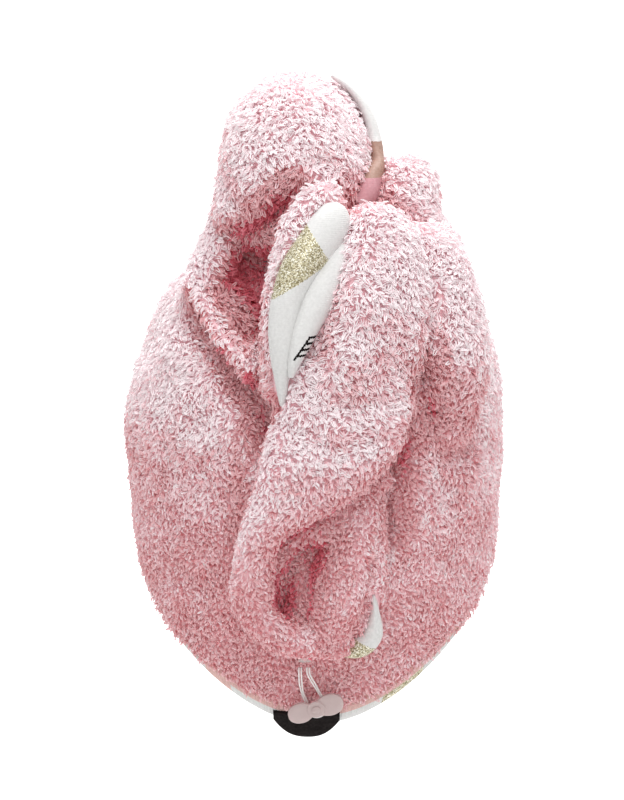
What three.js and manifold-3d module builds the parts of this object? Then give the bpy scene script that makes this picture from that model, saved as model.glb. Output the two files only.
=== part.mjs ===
// Twist-wrap hair-drying turban in terry cloth, as worn: a hollow head cap whose long tail rises at the
// forehead, rolls back over the crown and hangs down behind, where its elastic loop hooks a bow button.
// Millimetres. +Z is up, +Y is the way the wearer faces, +X is the wearer's right.
// The origin is on the head's axis, 5 mm below the lowest edge of the head opening, at the nape.
import * as THREE from 'three';
import { mergeVertices } from 'three/addons/utils/BufferGeometryUtils.js';
import Module from 'manifold-3d';

// ---- driving dimensions ----
const HALF_WIDTH = 106; // outside of the cap at its widest level
const HALF_DEPTH = 117;
const BELLY_Z = 140; // level of the widest section
const CROWN_Z = 268; // top of the cap, under the rolled tail
const CROWN_POWER = 2.4; // fullness of the crown; 2 would be an ellipse
const HEM_TUCK = 0.25; // how much narrower the cap is at Z = 0 than at its widest
const RIM_MEAN_Z = 66.25; // the head opening's edge: low at the nape, high at the forehead
const RIM_TILT = 47.5;
const RIM_BOW = 13.75;

const TERRY_THICKNESS = 8; // ground cloth and loop pile together
const LINING_THICKNESS = 1.5;
const TAPE_THICKNESS = 1;
const GAP = 0.4; // clearance between neighbouring cloth layers
const HEM_HEIGHT = 7; // ribbed hem that shows below the terry
const HEM_INSET = 2; // how far the hem lies behind the tips of the pile
const SEAM_HALF_GAP = 0.2;
const TAPE_WIDTH = 10;
const TAPE_CLEARANCE = 1.4; // the flat tape needs more room than cloth that curves with its neighbour

const TAB_X = -5; // nape tab: a crescent of black cloth that carries the button
const TAB_HALF_WIDTH = 18;
const TAB_BOTTOM_Z = -1;
const TAB_SIDE_Z = 10;
const TAB_TOP_Z = 20;
const TAB_PROUD = 1.6;
const TAB_THICKNESS = 3.2;

const BUTTON_X = 0.5; // bow-shaped button on a hollow shank
const BUTTON_Z = 18.4;
const BUTTON_HALF_SPAN = 15.6;
const BUTTON_HALF_HEIGHT = 5.8;
const BUTTON_WAIST = 3.4;
const BUTTON_THICKNESS = 3.6;
const BUTTON_TILT = 0.32; // radians, right lobe up
const BUTTON_STANDOFF = 6.6; // from the tab to the button's back
const KNOT_RADIUS = 4.6;
const KNOT_HEIGHT = 1.8;
const SHANK_RADIUS = 2.7;
const SHANK_BORE = 1.9;
const SHANK_LENGTH = 4.6;
const THREAD_RADIUS = 1.4;

const LOOP_RADIUS = 1; // elastic cord
const TAIL_SEAM_X = 2; // plane in which the two terry halves of the hanging tail meet
const ROLL_SEAM_X = -9; // the same seam where the tail rolls over the crown
const ROLL_RIGHT_X = 38; // flat right side of the roll, against the fold beside it

const TAIL_CLEARANCE = 1.2; // between the cap and the tail that lies on it
const FOLD_CENTRE = [42, -20, 281];
const FOLD_HALF_SIZE = [25, 31, 32];
const LOOP_TACK_LOW = [-10, -110, 43.6];
const LOOP_TACK_HIGH = [-2, -105, 49];
const LOOP_START = [-6, -107.5, 43.2];

const AROUND = 18; // facets of a half cap, from back to front
const UP = 14; // facets from the hem to the crown
const RING = 24; // facets round a rolled part

const wasm = await Module();
wasm.setup();

// ---- solids ----
function solidFromFaces(points, faces) {
  const raw = new THREE.BufferGeometry();
  raw.setAttribute('position', new THREE.Float32BufferAttribute(points.flatMap((p) => [p.x, p.y, p.z]), 3));
  raw.setIndex(faces.flat());
  return outward(raw);
}

// Merges shared corners, drops faces that have collapsed to a line and turns every face outward.
function outward(geometry) {
  const bare = geometry.clone();
  bare.deleteAttribute('normal');
  bare.deleteAttribute('uv');
  const merged = mergeVertices(bare, 1e-4);
  const position = merged.getAttribute('position');
  const kept = [];
  let volume = 0;
  const corner = [new THREE.Vector3(), new THREE.Vector3(), new THREE.Vector3()];
  for (let i = 0; i < merged.index.count; i += 3) {
    const face = [0, 1, 2].map((k) => merged.index.getX(i + k));
    if (new Set(face).size < 3) continue;
    face.forEach((id, k) => corner[k].fromBufferAttribute(position, id));
    volume += corner[0].dot(corner[1].clone().cross(corner[2]));
    kept.push(face);
  }
  if (volume < 0) kept.forEach((face) => face.reverse());
  merged.setIndex(kept.flat());
  return merged;
}

function toManifold(geometry) {
  const clean = outward(geometry);
  return new wasm.Manifold(new wasm.Mesh({
    numProp: 3,
    vertProperties: new Float32Array(clean.getAttribute('position').array),
    triVerts: new Uint32Array(clean.index.array),
  }));
}

function toGeometry(manifold) {
  const mesh = manifold.getMesh();
  const geometry = new THREE.BufferGeometry();
  geometry.setAttribute('position', new THREE.BufferAttribute(new Float32Array(mesh.vertProperties), 3));
  geometry.setIndex(new THREE.BufferAttribute(new Uint32Array(mesh.triVerts), 1));
  return geometry;
}

// A closed slab between two surfaces given over the unit square.
function slab(front, back, stepsU, stepsV) {
  const points = [];
  const faces = [];
  const row = stepsV + 1;
  const layer = (stepsU + 1) * row;
  for (const surface of [front, back]) {
    for (let i = 0; i <= stepsU; i += 1) {
      for (let j = 0; j <= stepsV; j += 1) points.push(surface(i / stepsU, j / stepsV));
    }
  }
  const quad = (a, b, c, d) => faces.push([a, b, c], [a, c, d]);
  const id = (i, j) => i * row + j;
  for (let i = 0; i < stepsU; i += 1) {
    for (let j = 0; j < stepsV; j += 1) {
      const corners = [id(i, j), id(i + 1, j), id(i + 1, j + 1), id(i, j + 1)];
      quad(...corners);
      quad(...corners.map((k) => k + layer).reverse());
    }
  }
  const rim = [];
  for (let i = 0; i < stepsU; i += 1) rim.push(id(i, 0));
  for (let j = 0; j < stepsV; j += 1) rim.push(id(stepsU, j));
  for (let i = stepsU; i > 0; i -= 1) rim.push(id(i, stepsV));
  for (let j = stepsV; j > 0; j -= 1) rim.push(id(0, j));
  rim.forEach((a, k) => {
    const b = rim[(k + 1) % rim.length];
    quad(a, a + layer, b + layer, b);
  });
  return solidFromFaces(points, faces);
}

// A closed solid through rings of equal count, with a flat fan at each end.
function loft(rings) {
  const count = rings[0].length;
  const points = rings.flat();
  const faces = [];
  for (let r = 0; r + 1 < rings.length; r += 1) {
    for (let k = 0; k < count; k += 1) {
      const a = r * count + k;
      const b = r * count + ((k + 1) % count);
      faces.push([a, b, b + count], [a, b + count, a + count]);
    }
  }
  for (const end of [0, rings.length - 1]) {
    const centre = points.length;
    points.push(rings[end].reduce((sum, p) => sum.add(p), new THREE.Vector3()).divideScalar(count));
    for (let k = 0; k < count; k += 1) {
      const face = [centre, end * count + k, end * count + ((k + 1) % count)];
      faces.push(end === 0 ? face.reverse() : face);
    }
  }
  return solidFromFaces(points, faces);
}

function oval(centre, across, along, halfAcross, halfAlong, count = RING) {
  const ring = [];
  for (let k = 0; k < count; k += 1) {
    const angle = (k / count) * 2 * Math.PI;
    const point = centre.clone();
    point.addScaledVector(across, Math.cos(angle) * halfAcross);
    point.addScaledVector(along, Math.sin(angle) * halfAlong);
    ring.push(point);
  }
  return ring;
}

const X_AXIS = new THREE.Vector3(1, 0, 0);
const Y_AXIS = new THREE.Vector3(0, 1, 0);
const ROLL_FACING_UP = new THREE.Vector3(0, 0.6, 1); // never along the roll's path

// An oval tube through stations of [x, y, z, half width, half thickness]. The width lies square to the path and
// to the given thickness direction.
function ribbon(stations, grow = 0, facing = Y_AXIS, count = 12) {
  const centres = stations.map(([x, y, z]) => new THREE.Vector3(x, y, z));
  const rings = stations.map(([, , , halfWidth, halfThickness], i) => {
    const before = centres[Math.max(i - 1, 0)];
    const after = centres[Math.min(i + 1, centres.length - 1)];
    const tangent = after.clone().sub(before).normalize();
    const across = tangent.clone().cross(facing).normalize();
    const out = across.clone().cross(tangent).normalize();
    return oval(centres[i], across, out, halfWidth + grow, halfThickness + grow, count);
  });
  return loft(rings);
}

function cordAlong(points, radius, steps) {
  const curve = new THREE.CatmullRomCurve3(points.map((p) => new THREE.Vector3(...p)));
  const section = new THREE.Shape();
  const SIDES = 8;
  for (let k = 0; k < SIDES; k += 1) {
    const angle = (k / SIDES) * 2 * Math.PI;
    const place = [radius * Math.cos(angle), radius * Math.sin(angle)];
    if (k === 0) section.moveTo(...place);
    else section.lineTo(...place);
  }
  section.closePath();
  return outward(new THREE.ExtrudeGeometry(section, { steps, extrudePath: curve, bevelEnabled: false }));
}

function box(low, high) {
  const size = high.map((value, k) => value - low[k]);
  const geometry = new THREE.BoxGeometry(...size);
  geometry.translate(...low.map((value, k) => value + size[k] / 2));
  return geometry;
}

// ---- the cap's shape ----
const rimZ = (theta) => RIM_MEAN_Z - RIM_TILT * Math.cos(theta) - RIM_BOW * Math.cos(2 * theta);

// Share of the full width that the cap has at a level; inset is measured in from the tips of the pile.
function fullness(z, inset) {
  if (z <= BELLY_Z) return 1 - HEM_TUCK * ((BELLY_Z - z) / BELLY_Z) ** 2;
  const rise = Math.min((z - BELLY_Z) / (CROWN_Z - inset - BELLY_Z), 1);
  return (1 - rise ** CROWN_POWER) ** (1 / CROWN_POWER);
}

// theta runs from 0 at the nape over pi/2 at the wearer's right to pi at the forehead.
function capPoint(theta, z, inset) {
  const share = fullness(z, inset);
  const narrowing = z <= BELLY_Z ? inset : inset * share;
  const halfWidth = HALF_WIDTH * share - narrowing;
  const halfDepth = HALF_DEPTH * share - narrowing;
  return new THREE.Vector3(halfWidth * Math.sin(theta), -halfDepth * Math.cos(theta), z);
}

const capBackY = (z, inset = 0) => capPoint(0, z, inset).y;

// v runs from the hem, lifted above the opening's edge, to the crown.
const BELLY_V = 0.42;
function capPatch(theta, v, inset, lift) {
  const start = rimZ(theta) + lift;
  if (v <= BELLY_V) return capPoint(theta, start + (BELLY_Z - start) * (v / BELLY_V), inset);
  const turn = ((v - BELLY_V) / (1 - BELLY_V)) * (Math.PI / 2);
  const rise = Math.sin(turn) ** (2 / CROWN_POWER);
  return capPoint(theta, BELLY_Z + (CROWN_Z - inset - BELLY_Z) * rise, inset);
}

// One half of a cap layer; side is 1 for the wearer's right and -1 for the left.
function capHalf(side, outerInset, innerInset, lift) {
  const surface = (inset) => (u, v) => {
    const point = capPatch(u * Math.PI, v, inset, lift);
    return new THREE.Vector3(side * (point.x + SEAM_HALF_GAP), point.y, point.z);
  };
  return slab(surface(outerInset), surface(innerInset), AROUND, UP);
}

function napeTab(grow) {
  const front = -TAB_PROUD - grow;
  const back = TAB_THICKNESS - TAB_PROUD + grow;
  const surface = (inset) => (u, v) => {
    const reach = 2 * u - 1;
    const x = TAB_X + reach * (TAB_HALF_WIDTH + grow);
    const sideZ = TAB_BOTTOM_Z + 0.45 * (TAB_SIDE_Z - TAB_BOTTOM_Z) * reach ** 2 - grow;
    const topZ = TAB_SIDE_Z + (TAB_TOP_Z - TAB_SIDE_Z) * Math.cos((reach * Math.PI) / 2) ** 2 + grow;
    const z = sideZ + (topZ - sideZ) * v;
    return new THREE.Vector3(x, capPoint(Math.asin(x / HALF_WIDTH), z, inset).y, z);
  };
  return slab(surface(front), surface(back), 10, 4);
}

function capTerry(side) {
  const cloth = toManifold(capHalf(side, 0, TERRY_THICKNESS, HEM_HEIGHT + GAP));
  return toGeometry(cloth.subtract(toManifold(napeTab(GAP))));
}

function capLining(side) {
  const inset = TERRY_THICKNESS + GAP;
  return capHalf(side, inset, inset + LINING_THICKNESS, 0);
}

function rimFacing(side) {
  const surface = (inset) => (u, v) => {
    const theta = u * Math.PI;
    const point = capPoint(theta, rimZ(theta) + HEM_HEIGHT * v, inset);
    return new THREE.Vector3(side * (point.x + SEAM_HALF_GAP), point.y, point.z);
  };
  return slab(surface(HEM_INSET), surface(TERRY_THICKNESS), 2 * AROUND, 1);
}

// The tape covers the centre seam on the inside, from the nape over the crown to the forehead.
function centreSeamTape() {
  const inset = TERRY_THICKNESS + LINING_THICKNESS + TAPE_CLEARANCE;
  const surface = (depth) => (u, v) => {
    const fromBack = u < 0.5;
    const theta = fromBack ? 0 : Math.PI;
    const point = capPatch(theta, fromBack ? 2 * u : 2 - 2 * u, depth, 0);
    return new THREE.Vector3((v - 0.5) * TAPE_WIDTH, point.y, point.z);
  };
  return slab(surface(inset), surface(inset + TAPE_THICKNESS), 2 * UP, 1);
}

// ---- the button ----
const tabFaceY = capBackY(BUTTON_Z, -TAB_PROUD);
const buttonBackY = tabFaceY - BUTTON_STANDOFF;

function bowOutline() {
  const shape = new THREE.Shape();
  const s = BUTTON_HALF_SPAN;
  const h = BUTTON_HALF_HEIGHT;
  shape.moveTo(0, BUTTON_WAIST);
  shape.bezierCurveTo(0.3 * s, 1.15 * h, 0.98 * s, 1.35 * h, s, 0.1 * h);
  shape.bezierCurveTo(0.98 * s, -1.2 * h, 0.3 * s, -1.15 * h, 0, -BUTTON_WAIST);
  shape.bezierCurveTo(-0.3 * s, -1.15 * h, -0.98 * s, -1.2 * h, -s, 0.1 * h);
  shape.bezierCurveTo(-0.98 * s, 1.35 * h, -0.3 * s, 1.15 * h, 0, BUTTON_WAIST);
  return shape;
}

// Drawn in the plane of X and Y, thickness along Z, then stood up so that the front faces the wearer's back.
function bowBody() {
  const bevel = 0.6;
  const plate = new THREE.ExtrudeGeometry(bowOutline(), {
    depth: BUTTON_THICKNESS - 2 * bevel,
    bevelThickness: bevel,
    bevelSize: bevel,
    bevelOffset: -bevel,
    bevelSegments: 1,
    curveSegments: 7,
  });
  plate.translate(0, 0, bevel);
  return standUp(plate);
}

function knotBoss() {
  const face = BUTTON_THICKNESS + 0.3;
  const dome = new THREE.LatheGeometry([
    new THREE.Vector2(0, face),
    new THREE.Vector2(KNOT_RADIUS, face),
    new THREE.Vector2(KNOT_RADIUS, face + 0.5 * KNOT_HEIGHT),
    new THREE.Vector2(0.8 * KNOT_RADIUS, face + KNOT_HEIGHT),
    new THREE.Vector2(0, face + KNOT_HEIGHT),
  ], 20);
  dome.rotateX(Math.PI / 2);
  return standUp(dome);
}

function hollowShank() {
  const sleeve = new THREE.LatheGeometry([
    new THREE.Vector2(SHANK_BORE, -SHANK_LENGTH),
    new THREE.Vector2(SHANK_RADIUS, -SHANK_LENGTH),
    new THREE.Vector2(SHANK_RADIUS, -0.3),
    new THREE.Vector2(SHANK_BORE, -0.3),
    new THREE.Vector2(SHANK_BORE, -SHANK_LENGTH),
  ], 20);
  sleeve.rotateX(Math.PI / 2);
  return standUp(sleeve);
}

function standUp(geometry) {
  const upright = geometry.clone();
  upright.rotateZ(BUTTON_TILT);
  upright.rotateX(Math.PI / 2);
  return outward(upright);
}

function buttonThread() {
  const low = 0.3;
  const post = new THREE.CylinderGeometry(THREAD_RADIUS, THREAD_RADIUS, BUTTON_STANDOFF - 3 * low, 12);
  post.translate(BUTTON_X, tabFaceY - BUTTON_STANDOFF / 2, BUTTON_Z);
  return outward(post);
}

// ---- the tail ----
// The roll: [x, y, z, half width, half height] along its middle, from the forehead over the crown to the back.
const ROLL_STATIONS = [
  [-4, 118, 190, 20, 7],
  [-5, 110, 218, 32, 19],
  [-7, 90, 252, 40, 32],
  [-8, 58, 284, 44, 42],
  [-9, 20, 304, 47, 48],
  [-10, -16, 305, 48, 47],
  [-12, -42, 294, 44, 38],
  [-14, -56, 282, 36, 25],
  [-15, -62, 276, 22, 14],
];

// The hanging flap: [z, x centre, y centre, half width, half thickness], from under the roll to the tip.
// Its ovals reach a little into the cap and are then cut to the cap's shape.
const FLAP_STATIONS = [
  [279, 35, -84, 17, 9],
  [268, 38, -89, 22, 14],
  [240, 37, -98, 26, 19],
  [212, 31, -119, 31, 21],
  [186, 19, -129, 38, 22],
  [165, 11, -133, 39, 23],
  [135, 2, -133, 37, 22],
  [100, -3, -130, 39, 21],
  [70, -3, -123, 38, 19],
  [54, 0, -115, 33, 15],
  [44, 5, -105.5, 18, 8],
];

const FRONT_LIP = [
  [15, -94, 286, 6, 5],
  [9, -99, 277, 10, 6],
  [-3, -108, 262, 14, 7],
  [-14, -119, 240, 13, 7],
  [-21, -127, 218, 9, 6],
  [-23, -131, 200, 5, 4],
];
const REAR_LIP = [
  [19, -101, 273, 5, 5],
  [13, -109, 257, 8, 6],
  [5, -119, 238, 9, 6],
  [-3, -129, 216, 8, 5],
  [-9, -134, 202, 4, 3],
];
const TIP_FACING = [
  [36, -120, 82, 3, 6],
  [37, -120, 66, 5, 7],
  [32, -119, 53, 6, 7],
  [23, -117, 45, 5, 6],
  [12, -113, 41, 3, 4],
];
const ROLL_FACING = [
  [14, -8, 352, 5, 7],
  [24, -10, 342, 7, 9],
  [31, -12, 328, 6, 10],
  [34, -14, 312, 5, 10],
  [33, -18, 296, 4, 8],
];

// Everything that the cap fills, swollen by the clearance that the tail keeps from it.
function capBlock() {
  const inset = -TAIL_CLEARANCE;
  const levels = [];
  for (let k = 0; k < 6; k += 1) levels.push((k / 6) * BELLY_Z);
  for (let k = 0; k < 12; k += 1) {
    const rise = Math.sin(((k / 12) * Math.PI) / 2) ** (2 / CROWN_POWER);
    levels.push(BELLY_Z + (CROWN_Z - inset - BELLY_Z) * rise);
  }
  levels.push(CROWN_Z - inset - 0.05);
  const ringAt = (z) => {
    const ring = [];
    for (let k = 0; k < 2 * AROUND; k += 1) ring.push(capPoint((k / AROUND) * Math.PI, z, inset));
    return ring;
  };
  return toManifold(loft(levels.map(ringAt)));
}

const cap = capBlock();
const FAR = 400;
const rightOf = (x) => toManifold(box([x + SEAM_HALF_GAP, -FAR, -FAR], [FAR, FAR, FAR]));
const leftOf = (x) => toManifold(box([-FAR, -FAR, -FAR], [x - SEAM_HALF_GAP, FAR, FAR]));

function rolledTail() {
  const tube = ribbon(ROLL_STATIONS, 0, ROLL_FACING_UP, RING);
  return toManifold(tube).subtract(cap).intersect(leftOf(ROLL_RIGHT_X));
}

function hangingTail() {
  const rings = FLAP_STATIONS.map(([z, x, y, halfWidth, halfThickness]) => (
    oval(new THREE.Vector3(x, y, z), X_AXIS, Y_AXIS, halfWidth, halfThickness)
  ));
  return toManifold(loft(rings)).subtract(cap);
}

// The terry of the cap's right side stands up in one fat fold beside the roll.
function crownFold() {
  const fold = new THREE.SphereGeometry(1, 18, 12);
  fold.scale(...FOLD_HALF_SIZE);
  fold.translate(...FOLD_CENTRE);
  return toGeometry(toManifold(fold).subtract(cap).intersect(rightOf(ROLL_RIGHT_X)));
}

const swollen = (stations) => toManifold(ribbon(stations, GAP));
const lips = swollen(FRONT_LIP).add(swollen(REAR_LIP));
const frontLip = ribbon(FRONT_LIP);
const rearLip = toGeometry(toManifold(ribbon(REAR_LIP)).subtract(swollen(FRONT_LIP)));
const tipFacing = ribbon(TIP_FACING);
const rollFacing = toGeometry(toManifold(ribbon(ROLL_FACING)).intersect(leftOf(ROLL_RIGHT_X)));
const roll = rolledTail().subtract(swollen(ROLL_FACING));
const tack = box(LOOP_TACK_LOW, LOOP_TACK_HIGH);
const tackSpace = box(LOOP_TACK_LOW.map((value) => value - GAP), LOOP_TACK_HIGH.map((value) => value + GAP));
const flap = hangingTail().subtract(lips).subtract(swollen(TIP_FACING)).subtract(toManifold(tackSpace));

// ---- the elastic loop: down from the tail's tip, round the button's shank and back up ----
function elasticLoop() {
  const y = tabFaceY - BUTTON_STANDOFF / 2;
  const bend = SHANK_RADIUS + LOOP_RADIUS + GAP;
  const [tackX, tackY, tackZ] = LOOP_START;
  const down = (side) => [
    [tackX + side * 1.6, tackY, tackZ],
    [tackX + side * 1.7, tackY + 1, tackZ - 4],
    [tackX + 1 + side * 2.4, (2 * tackY + y) / 3, tackZ - 11],
    [tackX + 3.5 + side * 3.4, (tackY + 2 * y) / 3, tackZ - 19],
    [BUTTON_X + side * (bend + 0.5), y - 1.2, BUTTON_Z + 5],
    [BUTTON_X + side * bend, y, BUTTON_Z],
    [BUTTON_X + side * 0.72 * bend, y, BUTTON_Z - 0.72 * bend],
  ];
  const route = [...down(-1), [BUTTON_X, y, BUTTON_Z - bend], ...down(1).reverse()];
  return cordAlong(route, LOOP_RADIUS, 40);
}

// ---- materials ----
const cloth = (color, roughness) => new THREE.MeshStandardMaterial({ color, roughness, metalness: 0 });
const terryPink = () => cloth(0xdfb0b6, 0.98);
const whiteJersey = () => cloth(0xeeeeec, 0.9);
const blushJersey = () => cloth(0xb56b76, 0.9);
const blackCloth = () => cloth(0x0d0808, 0.85);
const pinkPlastic = () => cloth(0xd9b4b6, 0.4);
const elastic = () => cloth(0xf2ecea, 0.7);
const thread = () => cloth(0xe9d9d8, 0.8);

// ---- the assembly ----
const turban = new THREE.Group();
function add(name, geometry, material) {
  const mesh = new THREE.Mesh(geometry, material);
  mesh.name = name;
  turban.add(mesh);
  return mesh;
}

const sides = [['left', -1], ['right', 1]];
for (const [name, side] of sides) {
  add(`cap_terry_${name}`, capTerry(side), terryPink());
  add(`cap_lining_${name}`, capLining(side), blushJersey());
  add(`rim_facing_${name}`, rimFacing(side), whiteJersey());
}
add('centre_seam_tape', centreSeamTape(), whiteJersey());
add('nape_tab', napeTab(0), blackCloth());
add('crown_fold', crownFold(), terryPink());

const button = new THREE.Group();
button.position.set(BUTTON_X, buttonBackY, BUTTON_Z);
turban.add(button);
for (const [name, geometry] of [['button_bow', bowBody()], ['button_knot', knotBoss()], ['button_shank', hollowShank()]]) {
  const mesh = new THREE.Mesh(geometry, pinkPlastic());
  mesh.name = name;
  button.add(mesh);
}
add('button_thread', buttonThread(), thread());

add('tail_roll_left', toGeometry(roll.intersect(leftOf(ROLL_SEAM_X))), terryPink());
add('tail_roll_right', toGeometry(roll.intersect(rightOf(ROLL_SEAM_X))), terryPink());
add('tail_roll_facing', rollFacing, whiteJersey());
add('tail_flap_left', toGeometry(flap.intersect(leftOf(TAIL_SEAM_X))), terryPink());
add('tail_flap_right', toGeometry(flap.intersect(rightOf(TAIL_SEAM_X))), terryPink());
add('tail_front_lip', frontLip, whiteJersey());
add('tail_rear_lip', rearLip, whiteJersey());
add('tail_tip_facing', tipFacing, whiteJersey());
add('loop_tack', tack, thread());
add('elastic_loop', elasticLoop(), elastic());

export default turban;
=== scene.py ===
"""Twist-wrap hair towel in looped pink terry, as worn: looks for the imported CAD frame.

Lengths are written in millimetres and turned into metres by MM where meshes are made.
+Z is up, +Y the way the wearer faces and +X the wearer's right; the camera looks at the wearer's back.
"""
import math

import bmesh
import bpy
import numpy as np
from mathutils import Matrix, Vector, noise
from mathutils.bvhtree import BVHTree


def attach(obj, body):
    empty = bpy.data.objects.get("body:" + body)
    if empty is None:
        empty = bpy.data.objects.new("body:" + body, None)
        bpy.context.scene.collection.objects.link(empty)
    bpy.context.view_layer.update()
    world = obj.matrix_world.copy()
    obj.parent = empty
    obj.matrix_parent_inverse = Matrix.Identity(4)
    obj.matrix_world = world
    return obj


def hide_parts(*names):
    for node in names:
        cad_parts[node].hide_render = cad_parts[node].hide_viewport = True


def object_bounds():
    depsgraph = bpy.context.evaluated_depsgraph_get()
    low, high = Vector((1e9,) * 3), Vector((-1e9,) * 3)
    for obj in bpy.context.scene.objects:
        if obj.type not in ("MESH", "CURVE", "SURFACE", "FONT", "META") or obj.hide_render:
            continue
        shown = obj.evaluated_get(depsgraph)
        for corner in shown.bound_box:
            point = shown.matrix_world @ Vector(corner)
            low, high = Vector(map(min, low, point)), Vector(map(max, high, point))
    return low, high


MM = 0.001

# ---- the cap's shape, as in the CAD model ----
HALF_WIDTH = 106
HALF_DEPTH = 117
BELLY_Z = 140
CROWN_Z = 268
CROWN_POWER = 2.4
HEM_TUCK = 0.25
RIM_MEAN_Z, RIM_TILT, RIM_BOW = 66.25, 47.5, 13.75

# ---- terry ----
GROUND_INSET = 2.5  # the ground cloth lies this far inside the CAD model's face
TERRY_EDGE = (10.5, 4.5)  # how far above the rim the terry ends at the nape and round the sides
EDGE_ANGLES = (0.6, 1.1)  # the angles from the nape between which one runs into the other
LOOPS_PER_CM2 = 46
YARN_RADIUS = 0.36
LOOP_WIDTH = 1.25
LOOP_LENGTH = 6.4
LOOP_POINTS = 7  # along one loop
LOW_LOOPS, HIGH_LOOPS = 0.66, 0.98  # loop size on the lower cap and on the folds at the top
LOOP_SIZE_LEVELS = (110, 215)  # heights between which the loops grow from one size to the other
YARN_SIDES = 3
LOOPS_PER_PIECE = 5400  # keeps each pile piece's mesh a moderate size
CAP_SEED, ROLL_SEED, FLAP_SEED = 11, 31, 51

# ---- flat sizes in metres of the cloth that each piece was cut from ----
CAP_FLAT = (0.62, 0.27)
ROLL_FLAT = (0.26, 0.20)
FLAP_FLAT = (0.26, 0.12)

LINING_INSET = 11
HEM_INNER_INSET = 8.8
EDGE_OVERLAP = 0.8  # how far the pile grows over the jersey edges
TAPE_WIDTH = 10
TAPE_CROWN = 0.3  # how far the tape's middle bulges into the cap

# ---- camera and light ----
CAMERA_ELEVATION = math.radians(10)
CAMERA_DISTANCE = 1.325
CAMERA_LENS = 110
CAMERA_TARGET = Vector((-0.002, -0.06, 0.1795))
VIEW_DEPTH = 20
FLOOR_DROP = 0.3
SWEEP_FRONT, SWEEP_BACK = -3, 2.6
SWEEP_RADIUS = 0.9
SWEEP_HALF_WIDTH = SWEEP_HEIGHT = 4
TOWEL_CENTRE = (0, 0, 0.17)
LIGHTS = [  # name, place, aim, size, power
    ("key", (0.05, -0.75, 1.3), TOWEL_CENTRE, 1.1, 7.0),
    ("top", (0.1, 0.2, 1.4), TOWEL_CENTRE, 1.0, 8.5),
    ("backdrop", (0, 1.6, 2.2), (0, SWEEP_BACK, 0.5), 1.6, 90),
]
WORLD_COLOUR = (1, 0.985, 0.98, 1)
WORLD_LIGHT, WORLD_SEEN = 0.66, 1.1  # strength for lighting the towel and as a plain white background
LIGHT_BOUNCES = 14  # pale loops pass light far down into the pile


def add_object(name, data):
    made = bpy.data.objects.new(name, data)
    bpy.context.scene.collection.objects.link(made)
    return made


# ---------------------------------------------------------------- stage
def make_camera():
    data = bpy.data.cameras.new("camera")
    data.lens = CAMERA_LENS
    data.clip_end = VIEW_DEPTH
    camera = add_object("camera", data)
    back = Vector((0, -math.cos(CAMERA_ELEVATION), math.sin(CAMERA_ELEVATION)))
    camera.location = CAMERA_TARGET + back * CAMERA_DISTANCE
    camera.rotation_euler = (-back).to_track_quat("-Z", "Y").to_euler()
    bpy.context.scene.camera = camera


def area_light(name, place, aim, size, power):
    data = bpy.data.lights.new(name, "AREA")
    data.shape = "DISK"
    data.size = size
    data.energy = power
    light = add_object(name, data)
    light.location = place
    light.rotation_euler = (Vector(aim) - Vector(place)).to_track_quat("-Z", "Y").to_euler()


def make_stage():
    scene = bpy.context.scene
    scene.view_settings.view_transform = "Standard"
    scene.cycles.max_bounces = LIGHT_BOUNCES
    scene.cycles.diffuse_bounces = LIGHT_BOUNCES
    world = bpy.data.worlds.new("studio")
    world.use_nodes = True
    background = world.node_tree.nodes["Background"]
    background.inputs["Color"].default_value = WORLD_COLOUR
    strength = node(world.node_tree, "ShaderNodeMapRange", To_Min=WORLD_LIGHT, To_Max=WORLD_SEEN)
    rays = world.node_tree.nodes.new("ShaderNodeLightPath")
    world.node_tree.links.new(rays.outputs["Is Camera Ray"], strength.inputs["Value"])
    world.node_tree.links.new(strength.outputs["Result"], background.inputs["Strength"])
    scene.world = world
    make_sweep()
    for light in LIGHTS:
        area_light(*light)


def make_sweep():
    """A plain pale floor that curves up into a backdrop behind the towel."""
    floor_z = CAD_LOW.z - FLOOR_DROP
    profile = [(SWEEP_FRONT, floor_z), (SWEEP_BACK - SWEEP_RADIUS, floor_z)]
    for angle in np.linspace(0, math.pi / 2, 17)[1:]:
        y = SWEEP_BACK - SWEEP_RADIUS * (1 - math.sin(angle))
        profile.append((y, floor_z + SWEEP_RADIUS * (1 - math.cos(angle))))
    profile.append((SWEEP_BACK, floor_z + SWEEP_HEIGHT))
    points = [(x, y, z) for y, z in profile for x in (-SWEEP_HALF_WIDTH, SWEEP_HALF_WIDTH)]
    sweep = mesh_object("floor", points, grid_faces(len(profile), 2))
    sweep.data.materials.append(plain_material("floor_white", (0.85, 0.85, 0.845), 0.9))


# ---------------------------------------------------------------- materials
MOTTLE_ENDS = (0.35, 0.65)  # levels of the noise that stand for the darker and the lighter colour
WALE_SCALE = 330
RELIEF_DEPTH = 0.0003
FLAKE_SCALE, FLAKE_RELIEF, FLAKE_DEPTH = 1900, 0.6, 0.0002
# flake colours from dark to near white: partly the print's mixed flakes, partly painted glints and painted
# shade of flakes turned from the light
FLAKE_COLOURS_AND_GLINTS = [
    (0, (0.24, 0.20, 0.10)),
    (0.3, (0.48, 0.43, 0.26)),
    (0.55, (0.68, 0.63, 0.44)),
    (0.8, (0.92, 0.90, 0.78)),
]
BLOCK_SCALE = 16
BLOCK_COLOURS = [
    (0, (0.84, 0.83, 0.82)),
    (0.55, (0.60, 0.52, 0.32)),
    (0.7, (0.72, 0.34, 0.40)),
    (0.88, (0.015, 0.012, 0.012)),
]


def plain_material(name, colour, roughness):
    material = bpy.data.materials.new(name)
    material.use_nodes = True
    shader = material.node_tree.nodes["Principled BSDF"]
    shader.inputs["Base Color"].default_value = (*colour, 1)
    shader.inputs["Roughness"].default_value = roughness
    return material


def node(tree, kind, **inputs):
    made = tree.nodes.new(kind)
    for name, value in inputs.items():
        made.inputs[name.replace("_", " ")].default_value = value
    return made


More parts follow.
